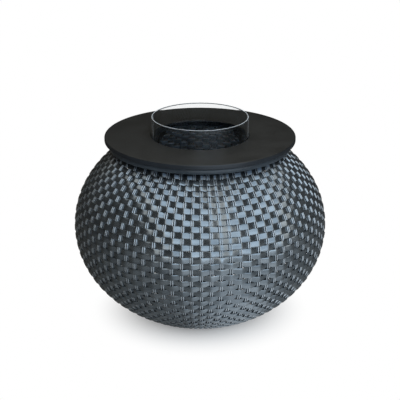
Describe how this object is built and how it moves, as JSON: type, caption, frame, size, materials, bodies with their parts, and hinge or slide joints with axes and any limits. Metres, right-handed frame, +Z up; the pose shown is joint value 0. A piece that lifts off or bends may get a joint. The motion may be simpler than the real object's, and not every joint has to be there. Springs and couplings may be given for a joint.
{
  "type": "ice bucket coffee table",
  "caption": "Globe-shaped woven garden table with a lift-off ring tray and a clear ice bucket that stands on a shelf inside and rises through the tray's hole.",
  "frame": {"origin": "on the floor under the centre of the globe", "axes": "+Z up along the globe's axis; -Y is the front seen in the picture, +X to the right"},
  "size_m": [0.5994, 0.6, 0.4904],
  "materials": {
    "wicker": "satin extruded resin strands, graphite with a bluish sheen",
    "frame": "fine-textured black powder coat",
    "band": "smooth satin dark blue-grey",
    "tray": "matt black with a soft edge",
    "acrylic": "clear polished acrylic",
    "rubber": "matt black rubber",
    "glide": "moulded black plastic",
    "steel": "zinc-plated, lightly brushed"
  },
  "bodies": {
    "basket": {"base_ring": "frame", "belly_hoop": "frame", "bucket_mat": "rubber", "bucket_shelf": "frame", "foot_glide_1": "glide", "foot_glide_2": "glide", "foot_glide_3": "glide", "foot_glide_4": "glide", "foot_glide_5": "glide", "foot_glide_6": "glide", "rib_1": "frame", "rib_2": "frame", "rib_3": "frame", "rib_4": "frame", "rib_5": "frame", "rib_6": "frame", "shelf_arm_1": "frame", "shelf_arm_2": "frame", "shelf_arm_3": "frame", "shelf_ring": "frame", "shelf_rivet_1": "steel", "shelf_rivet_2": "steel", "shelf_rivet_3": "steel", "top_hoop": "frame", "woven_skin": "wicker"},
    "tray": {"collar_screw_1": "steel", "collar_screw_2": "steel", "collar_screw_3": "steel", "collar_screw_4": "steel", "edge_ring": "band", "edge_screw_1": "steel", "edge_screw_2": "steel", "edge_screw_3": "steel", "edge_screw_4": "steel", "edge_screw_5": "steel", "edge_screw_6": "steel", "hole_collar": "band", "tray_pad_1": "rubber", "tray_pad_2": "rubber", "tray_pad_3": "rubber", "tray_pad_4": "rubber", "tray_pad_5": "rubber", "tray_pad_6": "rubber", "tray_top": "tray"},
    "bucket": {"bucket": "acrylic"}
  },
  "joints": [
    {"name": "tray_lift", "type": "slide", "parent": "basket", "child": "tray", "axis": [0, 0, 1], "range_m": [0, 0.1]},
    {"name": "bucket_lift", "type": "slide", "parent": "basket", "child": "bucket", "axis": [0, 0, 1], "range_m": [0, 0.21]}
  ]
}
